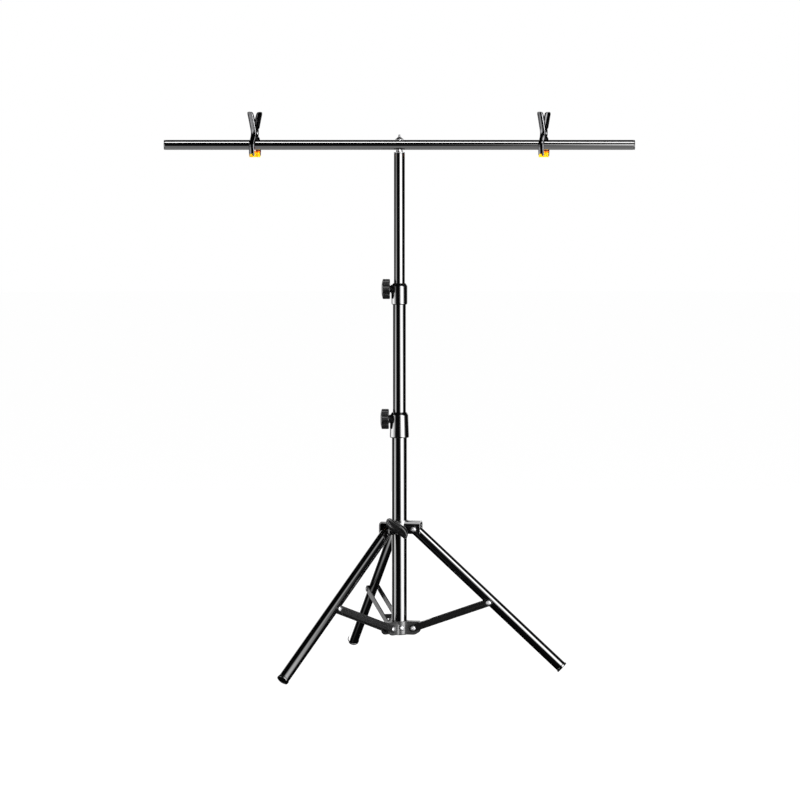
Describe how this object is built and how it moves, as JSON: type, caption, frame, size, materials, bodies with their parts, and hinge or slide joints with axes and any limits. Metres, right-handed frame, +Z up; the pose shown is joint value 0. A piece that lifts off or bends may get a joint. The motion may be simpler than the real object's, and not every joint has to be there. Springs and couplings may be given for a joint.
{
  "type": "backdrop stand",
  "caption": "T-shaped backdrop stand: telescopic column with star lock knobs, folding braced tripod, and a swivelling crossbar carrying spring clamps with soft pads.",
  "frame": {"origin": "centre of the bounding box on the floor, under the spread feet; the column's axis stands at x = 0, 26.2 mm in front of it", "axes": "+Z up along the column, +X along the crossbar to its right end, +Y to the back, away from the viewer of the picture"},
  "size_m": [0.67, 0.4143, 0.7955],
  "materials": {
    "black_gloss_paint": "gloss black powder coat",
    "black_gloss_plastic": "glossy black moulded plastic",
    "dark_satin_plastic": "satin dark grey moulded plastic",
    "dark_satin_paint": "satin dark grey coated sheet steel",
    "bright_steel": "bright zinc-plated steel",
    "grey_inner_plastic": "plain moulded plastic",
    "clamp_black_nickel": "glossy dark plated sheet steel",
    "spring_steel": "drawn spring wire",
    "amber_soft_plastic": "amber soft plastic"
  },
  "bodies": {
    "base": {"lower_tube": "black_gloss_paint", "lower_collar": "black_gloss_plastic", "hub": "dark_satin_paint", "hub_screw": "bright_steel", "bottom_plug": "grey_inner_plastic", "hub_rivet_right": "bright_steel", "hub_rivet_back": "bright_steel", "hub_rivet_left": "bright_steel"},
    "lower_lock": {"lower_knob": "dark_satin_plastic", "lower_knob_screw": "bright_steel"},
    "leg_carrier": {"leg_collar": "black_gloss_plastic", "leg_rivet_right": "bright_steel", "leg_rivet_back": "bright_steel", "leg_rivet_left": "bright_steel"},
    "leg_lock": {"wing_knob": "dark_satin_plastic", "wing_knob_screw": "bright_steel"},
    "leg_right": {"leg_right": "black_gloss_paint", "foot_right": "black_gloss_plastic"},
    "strut_right": {"strut_right": "dark_satin_paint", "strut_rivet_right_a": "bright_steel", "strut_rivet_right_b": "bright_steel"},
    "leg_back": {"leg_back": "black_gloss_paint", "foot_back": "black_gloss_plastic"},
    "strut_back": {"strut_back": "dark_satin_paint", "strut_rivet_back_a": "bright_steel", "strut_rivet_back_b": "bright_steel"},
    "leg_left": {"leg_left": "black_gloss_paint", "foot_left": "black_gloss_plastic"},
    "strut_left": {"strut_left": "dark_satin_paint", "strut_rivet_left_a": "bright_steel", "strut_rivet_left_b": "bright_steel"},
    "middle_section": {"middle_tube": "black_gloss_paint", "middle_bush": "grey_inner_plastic", "upper_collar": "black_gloss_plastic"},
    "upper_lock": {"upper_knob": "dark_satin_plastic", "upper_knob_screw": "bright_steel"},
    "top_section": {"top_tube": "black_gloss_paint", "top_bush": "grey_inner_plastic", "top_plug": "bright_steel", "stud": "bright_steel"},
    "crossbar": {"crossbar": "black_gloss_paint", "bar_plug_left": "black_gloss_plastic", "bar_plug_right": "black_gloss_plastic"},
    "top_nut": {"cap_nut": "bright_steel"},
    "clamp_left": {"clamp_left_front_lever": "clamp_black_nickel", "clamp_left_front_pad": "amber_soft_plastic", "clamp_left_pin": "bright_steel", "clamp_left_spring": "spring_steel"},
    "clamp_left_rear": {"clamp_left_rear_lever": "clamp_black_nickel", "clamp_left_rear_pad": "amber_soft_plastic"},
    "clamp_right": {"clamp_right_front_lever": "clamp_black_nickel", "clamp_right_front_pad": "amber_soft_plastic", "clamp_right_pin": "bright_steel", "clamp_right_spring": "spring_steel"},
    "clamp_right_rear": {"clamp_right_rear_lever": "clamp_black_nickel", "clamp_right_rear_pad": "amber_soft_plastic"}
  },
  "joints": [
    {"name": "leg_collar_slide", "type": "slide", "parent": "base", "child": "leg_carrier", "axis": [0, 0, 1], "range_m": [0, 0.1175]},
    {"name": "leg_lock_turn", "type": "hinge", "parent": "leg_carrier", "child": "leg_lock", "pos_m": [0, -0.02618, 0.20405], "axis": [-0.0872, -0.9962, 0], "continuous": true},
    {"name": "leg_right_fold", "type": "hinge", "parent": "leg_carrier", "child": "leg_right", "pos_m": [0.02241, -0.03135, 0.20005], "axis": [0.225, 0.9744, 0], "range_deg": [0, 35.38]},
    {"name": "strut_right_fold", "type": "hinge", "parent": "base", "child": "strut_right", "pos_m": [0.02192, -0.03124, 0.05754], "axis": [-0.225, -0.9744, 0], "range_deg": [0, 55.02]},
    {"name": "leg_back_fold", "type": "hinge", "parent": "leg_carrier", "child": "leg_back", "pos_m": [-0.00673, -0.00418, 0.20005], "axis": [-0.9563, -0.2924, 0], "range_deg": [0, 35.38]},
    {"name": "strut_back_fold", "type": "hinge", "parent": "base", "child": "strut_back", "pos_m": [-0.00658, -0.00466, 0.05754], "axis": [0.9563, 0.2924, 0], "range_deg": [0, 55.02]},
    {"name": "leg_left_fold", "type": "hinge", "parent": "leg_carrier", "child": "leg_left", "pos_m": [-0.01569, -0.043, 0.20005], "axis": [0.7314, -0.682, 0], "range_deg": [0, 35.38]},
    {"name": "strut_left_fold", "type": "hinge", "parent": "base", "child": "strut_left", "pos_m": [-0.01534, -0.04263, 0.05754], "axis": [-0.7314, 0.682, 0], "range_deg": [0, 55.02]},
    {"name": "lower_knob_turn", "type": "hinge", "parent": "base", "child": "lower_lock", "pos_m": [0, -0.02618, 0.35724], "axis": [-1, 0, 0], "continuous": true},
    {"name": "middle_section_slide", "type": "slide", "parent": "base", "child": "middle_section", "axis": [0, 0, 1], "range_m": [-0.153, 0.05]},
    {"name": "upper_knob_turn", "type": "hinge", "parent": "middle_section", "child": "upper_lock", "pos_m": [0, -0.02618, 0.54314], "axis": [-1, 0, 0], "continuous": true},
    {"name": "top_section_slide", "type": "slide", "parent": "middle_section", "child": "top_section", "axis": [0, 0, 1], "range_m": [-0.18, 0.04]},
    {"name": "crossbar_swivel", "type": "hinge", "parent": "top_section", "child": "crossbar", "pos_m": [0, -0.02618, 0.7482], "axis": [0, 0, 1], "continuous": true},
    {"name": "cap_nut_turn", "type": "hinge", "parent": "top_section", "child": "top_nut", "pos_m": [0, -0.02618, 0.75535], "axis": [0, 0, 1], "continuous": true},
    {"name": "clamp_left_slide", "type": "slide", "parent": "crossbar", "child": "clamp_left", "axis": [1, 0, 0], "range_m": [-0.115, 0.16]},
    {"name": "clamp_left_squeeze", "type": "hinge", "parent": "clamp_left", "child": "clamp_left_rear", "pos_m": [-0.2055, -0.02618, 0.76519], "axis": [0.9063, -0.4226, 0], "range_deg": [0, 25], "stiffness_Nm_per_rad": 0.06, "springref_deg": -28.65, "deforming": ["clamp_left_spring"]},
    {"name": "clamp_right_slide", "type": "slide", "parent": "crossbar", "child": "clamp_right", "axis": [1, 0, 0], "range_m": [-0.16, 0.115]},
    {"name": "clamp_right_squeeze", "type": "hinge", "parent": "clamp_right", "child": "clamp_right_rear", "pos_m": [0.2055, -0.02618, 0.76519], "axis": [0.9063, -0.4226, 0], "range_deg": [0, 25], "stiffness_Nm_per_rad": 0.06, "springref_deg": -28.65, "deforming": ["clamp_right_spring"]}
  ],
  "couplings": [
    {"joint": "leg_right_fold", "follows": "leg_collar_slide", "rad_per_m": 5.2545},
    {"joint": "strut_right_fold", "follows": "leg_collar_slide", "rad_per_m": 8.1718},
    {"joint": "leg_back_fold", "follows": "leg_collar_slide", "rad_per_m": 5.2545},
    {"joint": "strut_back_fold", "follows": "leg_collar_slide", "rad_per_m": 8.1718},
    {"joint": "leg_left_fold", "follows": "leg_collar_slide", "rad_per_m": 5.2545},
    {"joint": "strut_left_fold", "follows": "leg_collar_slide", "rad_per_m": 8.1718}
  ]
}
